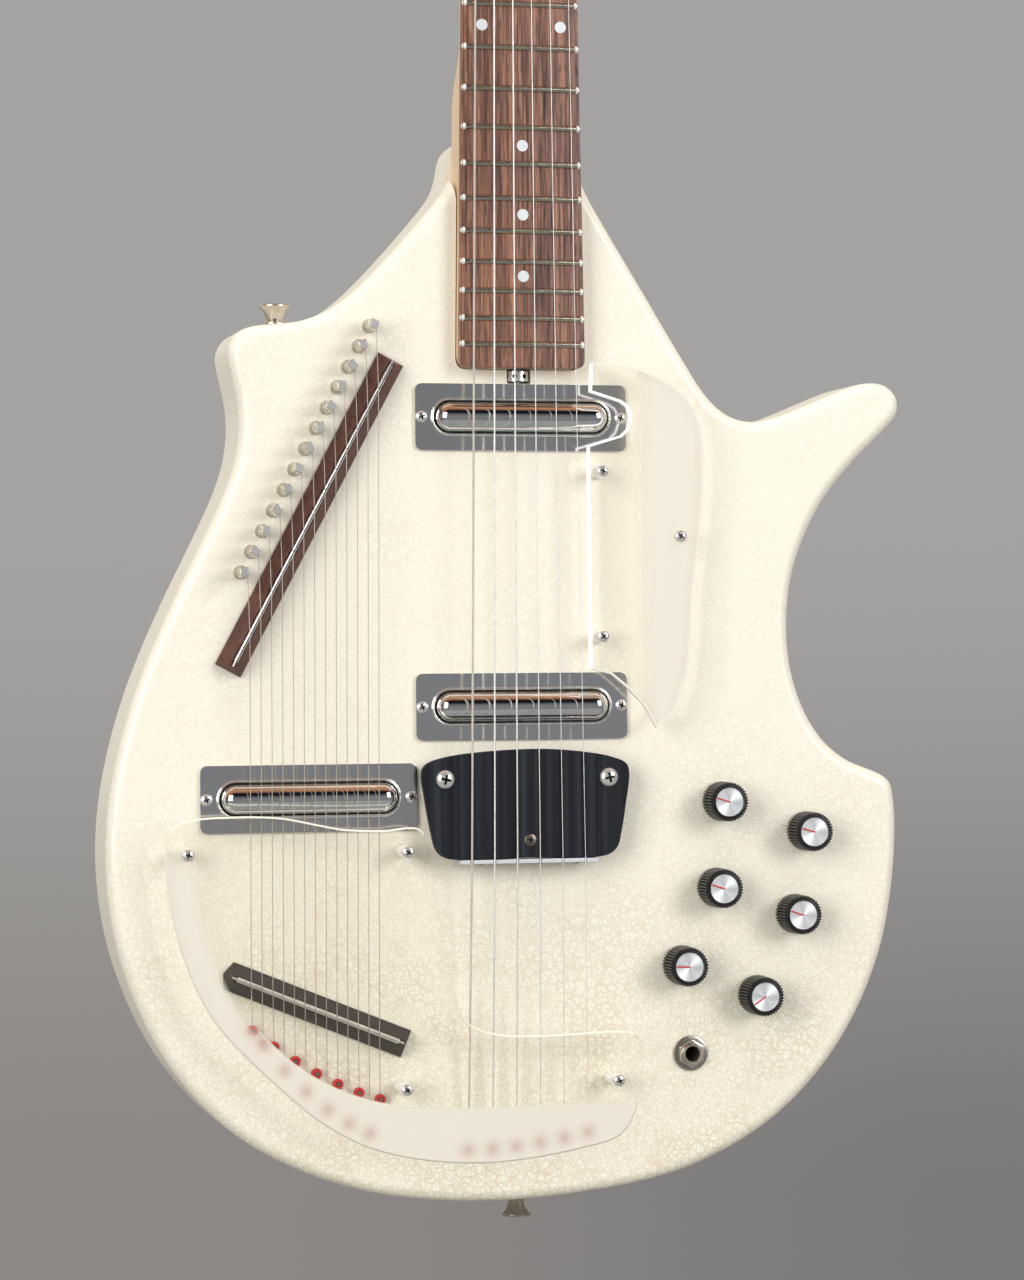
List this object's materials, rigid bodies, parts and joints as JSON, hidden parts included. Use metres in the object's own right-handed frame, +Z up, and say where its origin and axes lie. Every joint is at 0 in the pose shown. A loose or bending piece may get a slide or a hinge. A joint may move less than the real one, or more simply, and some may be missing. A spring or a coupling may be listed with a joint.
{
  "type": "electric sitar",
  "caption": "Solid-body electric sitar with a fretted neck, worm-geared tuners, tube pickups, a buzzing bridge, a bank of drone strings on tuning pins, clear plates, knobs and a plug socket.",
  "frame": {"origin": "on the centre line at the nut's fretboard edge, on the fingerboard's surface", "axes": "+X to the treble side, +Y from the front into the back, +Z up the neck towards the headstock"},
  "size_m": [0.3566, 0.0688, 1.0157],
  "materials": {
    "cream_lacquer": "pale cream crackle lacquer on wood",
    "maple": "satin lacquer",
    "rosewood": "oiled",
    "chrome": "polished",
    "plated_bezel": "worn plating",
    "nickel": "dull nickel plating",
    "string_steel": "drawn wire",
    "aluminium": "plain",
    "black_plastic": "moulded",
    "buzz_plate_black": "worn matt",
    "clear_acrylic": "clear, part frosted",
    "ivory_button": "moulded",
    "hardboard": "painted hardboard"
  },
  "bodies": {
    "instrument": {"body": "cream_lacquer", "back_cover": "hardboard", "neck_plate": "chrome", "strap_button_upper": "nickel", "strap_button_lower": "nickel", "neck": "maple", "fingerboard": "rosewood", "nut": "aluminium", "truss_rod": "string_steel", "tuner_plate": "chrome", "neck_pickup_tube": "chrome", "neck_pickup_bezel": "plated_bezel", "bridge_pickup_tube": "chrome", "bridge_pickup_bezel": "plated_bezel", "drone_pickup_tube": "chrome", "drone_pickup_bezel": "plated_bezel", "bridge_base": "chrome", "buzz_plate": "buzz_plate_black", "main_strings": "string_steel", "pickguard": "clear_acrylic", "drone_cover": "clear_acrylic", "drone_bridge_lower": "rosewood", "drone_bridge_upper": "rosewood", "drone_strings": "string_steel", "control_pots": "aluminium", "output_jack": "nickel"},
    "truss_wheel": {"truss_wheel": "nickel"},
    "tuner_button_1": {"tuner_button_1": "ivory_button"},
    "tuner_button_2": {"tuner_button_2": "ivory_button"},
    "tuner_button_3": {"tuner_button_3": "ivory_button"},
    "tuner_button_4": {"tuner_button_4": "ivory_button"},
    "tuner_button_5": {"tuner_button_5": "ivory_button"},
    "tuner_button_6": {"tuner_button_6": "ivory_button"},
    "tuner_post_1": {"tuner_post_1": "chrome"},
    "tuner_post_2": {"tuner_post_2": "chrome"},
    "tuner_post_3": {"tuner_post_3": "chrome"},
    "tuner_post_4": {"tuner_post_4": "chrome"},
    "tuner_post_5": {"tuner_post_5": "chrome"},
    "tuner_post_6": {"tuner_post_6": "chrome"},
    "drone_pin_1": {"drone_pin_1": "nickel"},
    "drone_pin_2": {"drone_pin_2": "nickel"},
    "drone_pin_3": {"drone_pin_3": "nickel"},
    "drone_pin_4": {"drone_pin_4": "nickel"},
    "drone_pin_5": {"drone_pin_5": "nickel"},
    "drone_pin_6": {"drone_pin_6": "nickel"},
    "drone_pin_7": {"drone_pin_7": "nickel"},
    "drone_pin_8": {"drone_pin_8": "nickel"},
    "drone_pin_9": {"drone_pin_9": "nickel"},
    "drone_pin_10": {"drone_pin_10": "nickel"},
    "drone_pin_11": {"drone_pin_11": "nickel"},
    "drone_pin_12": {"drone_pin_12": "nickel"},
    "drone_pin_13": {"drone_pin_13": "nickel"},
    "knob_1": {"knob_1": "black_plastic"},
    "knob_2": {"knob_2": "black_plastic"},
    "knob_3": {"knob_3": "black_plastic"},
    "knob_4": {"knob_4": "black_plastic"},
    "knob_5": {"knob_5": "black_plastic"},
    "knob_6": {"knob_6": "black_plastic"}
  },
  "joints": [
    {"name": "truss_wheel_turn", "type": "hinge", "parent": "instrument", "child": "truss_wheel", "pos_m": [0, 0.0115, -0.457], "axis": [0, 0, 1], "range_deg": [-180, 180]},
    {"name": "tuner_button_1_turn", "type": "hinge", "parent": "instrument", "child": "tuner_button_1", "pos_m": [-0.01955, 0.02365, 0.0389], "axis": [-0.9711, 0, 0.2386], "continuous": true},
    {"name": "tuner_button_2_turn", "type": "hinge", "parent": "instrument", "child": "tuner_button_2", "pos_m": [-0.01316, 0.02365, 0.0649], "axis": [-0.9711, 0, 0.2386], "continuous": true},
    {"name": "tuner_button_3_turn", "type": "hinge", "parent": "instrument", "child": "tuner_button_3", "pos_m": [-0.00677, 0.02365, 0.0909], "axis": [-0.9711, 0, 0.2386], "continuous": true},
    {"name": "tuner_button_4_turn", "type": "hinge", "parent": "instrument", "child": "tuner_button_4", "pos_m": [-0.00038, 0.02365, 0.1169], "axis": [-0.9711, 0, 0.2386], "continuous": true},
    {"name": "tuner_button_5_turn", "type": "hinge", "parent": "instrument", "child": "tuner_button_5", "pos_m": [0.00601, 0.02365, 0.1429], "axis": [-0.9711, 0, 0.2386], "continuous": true},
    {"name": "tuner_button_6_turn", "type": "hinge", "parent": "instrument", "child": "tuner_button_6", "pos_m": [0.01239, 0.02365, 0.1689], "axis": [-0.9711, 0, 0.2386], "continuous": true},
    {"name": "tuner_post_1_turn", "type": "hinge", "parent": "instrument", "child": "tuner_post_1", "pos_m": [-0.02124, 0, 0.032], "axis": [0, 1, 0], "continuous": true},
    {"name": "tuner_post_2_turn", "type": "hinge", "parent": "instrument", "child": "tuner_post_2", "pos_m": [-0.01485, 0, 0.058], "axis": [0, 1, 0], "continuous": true},
    {"name": "tuner_post_3_turn", "type": "hinge", "parent": "instrument", "child": "tuner_post_3", "pos_m": [-0.00847, 0, 0.084], "axis": [0, 1, 0], "continuous": true},
    {"name": "tuner_post_4_turn", "type": "hinge", "parent": "instrument", "child": "tuner_post_4", "pos_m": [-0.00208, 0, 0.11], "axis": [0, 1, 0], "continuous": true},
    {"name": "tuner_post_5_turn", "type": "hinge", "parent": "instrument", "child": "tuner_post_5", "pos_m": [0.00431, 0, 0.136], "axis": [0, 1, 0], "continuous": true},
    {"name": "tuner_post_6_turn", "type": "hinge", "parent": "instrument", "child": "tuner_post_6", "pos_m": [0.0107, 0, 0.162], "axis": [0, 1, 0], "continuous": true},
    {"name": "drone_pin_1_turn", "type": "hinge", "parent": "instrument", "child": "drone_pin_1", "pos_m": [-0.0671, 0.0085, -0.439], "axis": [0, 1, 0], "continuous": true},
    {"name": "drone_pin_2_turn", "type": "hinge", "parent": "instrument", "child": "drone_pin_2", "pos_m": [-0.07183, 0.0085, -0.44783], "axis": [0, 1, 0], "continuous": true},
    {"name": "drone_pin_3_turn", "type": "hinge", "parent": "instrument", "child": "drone_pin_3", "pos_m": [-0.07656, 0.0085, -0.45666], "axis": [0, 1, 0], "continuous": true},
    {"name": "drone_pin_4_turn", "type": "hinge", "parent": "instrument", "child": "drone_pin_4", "pos_m": [-0.08129, 0.0085, -0.46549], "axis": [0, 1, 0], "continuous": true},
    {"name": "drone_pin_5_turn", "type": "hinge", "parent": "instrument", "child": "drone_pin_5", "pos_m": [-0.08602, 0.0085, -0.47432], "axis": [0, 1, 0], "continuous": true},
    {"name": "drone_pin_6_turn", "type": "hinge", "parent": "instrument", "child": "drone_pin_6", "pos_m": [-0.09075, 0.0085, -0.48315], "axis": [0, 1, 0], "continuous": true},
    {"name": "drone_pin_7_turn", "type": "hinge", "parent": "instrument", "child": "drone_pin_7", "pos_m": [-0.09548, 0.0085, -0.49198], "axis": [0, 1, 0], "continuous": true},
    {"name": "drone_pin_8_turn", "type": "hinge", "parent": "instrument", "child": "drone_pin_8", "pos_m": [-0.10021, 0.0085, -0.50081], "axis": [0, 1, 0], "continuous": true},
    {"name": "drone_pin_9_turn", "type": "hinge", "parent": "instrument", "child": "drone_pin_9", "pos_m": [-0.10494, 0.0085, -0.50964], "axis": [0, 1, 0], "continuous": true},
    {"name": "drone_pin_10_turn", "type": "hinge", "parent": "instrument", "child": "drone_pin_10", "pos_m": [-0.10967, 0.0085, -0.51847], "axis": [0, 1, 0], "continuous": true},
    {"name": "drone_pin_11_turn", "type": "hinge", "parent": "instrument", "child": "drone_pin_11", "pos_m": [-0.1144, 0.0085, -0.5273], "axis": [0, 1, 0], "continuous": true},
    {"name": "drone_pin_12_turn", "type": "hinge", "parent": "instrument", "child": "drone_pin_12", "pos_m": [-0.11913, 0.0085, -0.53613], "axis": [0, 1, 0], "continuous": true},
    {"name": "drone_pin_13_turn", "type": "hinge", "parent": "instrument", "child": "drone_pin_13", "pos_m": [-0.12386, 0.0085, -0.54496], "axis": [0, 1, 0], "continuous": true},
    {"name": "knob_1_turn", "type": "hinge", "parent": "instrument", "child": "knob_1", "pos_m": [0.0902, 0.0085, -0.6459], "axis": [0, 1, 0], "range_deg": [-78, 222]},
    {"name": "knob_2_turn", "type": "hinge", "parent": "instrument", "child": "knob_2", "pos_m": [0.1292, 0.0085, -0.6597], "axis": [0, 1, 0], "range_deg": [-76, 224]},
    {"name": "knob_3_turn", "type": "hinge", "parent": "instrument", "child": "knob_3", "pos_m": [0.0875, 0.0085, -0.6838], "axis": [0, 1, 0], "range_deg": [-78, 222]},
    {"name": "knob_4_turn", "type": "hinge", "parent": "instrument", "child": "knob_4", "pos_m": [0.1237, 0.0085, -0.6962], "axis": [0, 1, 0], "range_deg": [-79, 221]},
    {"name": "knob_5_turn", "type": "hinge", "parent": "instrument", "child": "knob_5", "pos_m": [0.0714, 0.0085, -0.7176], "axis": [0, 1, 0], "range_deg": [-62.5, 237.5]},
    {"name": "knob_6_turn", "type": "hinge", "parent": "instrument", "child": "knob_6", "pos_m": [0.1059, 0.0085, -0.7316], "axis": [0, 1, 0], "range_deg": [-26.3, 273.7]}
  ],
  "couplings": [
    {"joint": "tuner_post_1_turn", "follows": "tuner_button_1_turn", "ratio": 0.071429},
    {"joint": "tuner_post_2_turn", "follows": "tuner_button_2_turn", "ratio": 0.071429},
    {"joint": "tuner_post_3_turn", "follows": "tuner_button_3_turn", "ratio": 0.071429},
    {"joint": "tuner_post_4_turn", "follows": "tuner_button_4_turn", "ratio": 0.071429},
    {"joint": "tuner_post_5_turn", "follows": "tuner_button_5_turn", "ratio": 0.071429},
    {"joint": "tuner_post_6_turn", "follows": "tuner_button_6_turn", "ratio": 0.071429}
  ]
}
